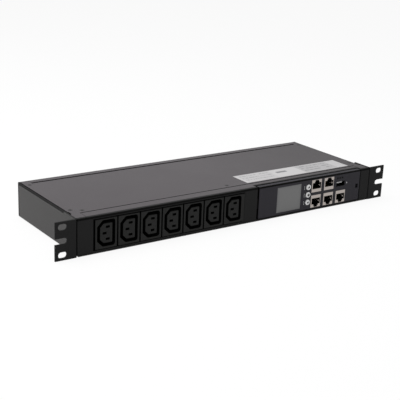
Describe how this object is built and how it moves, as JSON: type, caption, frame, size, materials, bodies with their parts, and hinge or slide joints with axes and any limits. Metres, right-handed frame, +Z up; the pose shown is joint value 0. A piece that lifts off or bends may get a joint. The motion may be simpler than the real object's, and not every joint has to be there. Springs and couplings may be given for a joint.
{
  "type": "rack power distribution unit",
  "caption": "Slim rack-mounted power distribution unit: front row of outlets, controller with display, push buttons and network jacks, slotted mounting ears and a rear inlet.",
  "frame": {"origin": "centre of the rack mounting plane, on the rear face of the ears, midway between the four slots", "axes": "+X to the right seen from the front, +Y to the rear, +Z up"},
  "size_m": [0.4826, 0.1559, 0.044],
  "materials": {
    "case_paint": "fine-textured black powder coat",
    "zinc_steel": "bright zinc plate",
    "black_screw": "black zinc plate",
    "foam": "matt foam strip",
    "outlet_plastic": "moulded black, satin",
    "contact_brass": "plated brass",
    "circuit_board": "green solder mask",
    "relay_plastic": "moulded black",
    "bezel_plastic": "moulded dark grey, fine grain",
    "display_window": "grey tinted, polished",
    "display_body": "moulded grey",
    "button_plastic": "moulded pale grey",
    "tinned_shield": "bright tin plate",
    "port_plastic": "moulded black",
    "light_pipe": "clear, frosted face",
    "line_sleeve": "brown insulation",
    "neutral_sleeve": "blue insulation",
    "earth_sleeve": "green insulation with a yellow stripe",
    "ribbon_sleeve": "grey flat cable",
    "transformer_tape": "yellow winding tape",
    "capacitor_box": "moulded grey box",
    "label_paper": "pale coated sticker"
  },
  "bodies": {
    "chassis": {"base_tray": "case_paint", "front_panel": "case_paint", "rear_panel": "case_paint", "top_cover": "case_paint", "ear_left": "case_paint", "ear_right": "case_paint", "front_rail": "zinc_steel", "rear_rail": "zinc_steel", "outlet_carrier": "zinc_steel", "board_brackets": "zinc_steel", "supply_standoffs": "zinc_steel", "cover_screws": "black_screw", "cover_gaskets": "foam", "outlet_1": "outlet_plastic", "outlet_2": "outlet_plastic", "outlet_3": "outlet_plastic", "outlet_4": "outlet_plastic", "outlet_5": "outlet_plastic", "outlet_6": "outlet_plastic", "outlet_7": "outlet_plastic", "power_inlet": "outlet_plastic", "line_contacts": "contact_brass", "neutral_contacts": "contact_brass", "earth_contacts": "contact_brass", "line_busbar": "contact_brass", "neutral_busbar": "contact_brass", "earth_busbar": "contact_brass", "inlet_pins": "contact_brass", "jack_pins": "contact_brass", "outlet_board": "circuit_board", "controller_board": "circuit_board", "supply_board": "circuit_board", "relays": "relay_plastic", "button_switches": "relay_plastic", "controller_bezel": "bezel_plastic", "display_pane": "display_window", "display_module": "display_body", "jack_shield_1": "tinned_shield", "jack_shield_2": "tinned_shield", "jack_shield_3": "tinned_shield", "jack_shield_4": "tinned_shield", "jack_shield_5": "tinned_shield", "usb_shell": "tinned_shield", "jack_inserts": "port_plastic", "usb_tongue": "port_plastic", "status_lights": "light_pipe", "line_wire": "line_sleeve", "neutral_wire": "neutral_sleeve", "earth_wire": "earth_sleeve", "signal_ribbon": "ribbon_sleeve", "supply_transformer": "transformer_tape", "supply_capacitor": "capacitor_box", "cover_label": "label_paper"},
    "up_key": {"button_up": "button_plastic"},
    "select_key": {"button_select": "button_plastic"},
    "down_key": {"button_down": "button_plastic"}
  },
  "joints": [
    {"name": "up_key_press", "type": "slide", "parent": "chassis", "child": "up_key", "axis": [0, 1, 0], "range_m": [0, 0.0005], "stiffness_N_per_m": 1500},
    {"name": "select_key_press", "type": "slide", "parent": "chassis", "child": "select_key", "axis": [0, 1, 0], "range_m": [0, 0.0005], "stiffness_N_per_m": 1500},
    {"name": "down_key_press", "type": "slide", "parent": "chassis", "child": "down_key", "axis": [0, 1, 0], "range_m": [0, 0.0005], "stiffness_N_per_m": 1500}
  ]
}
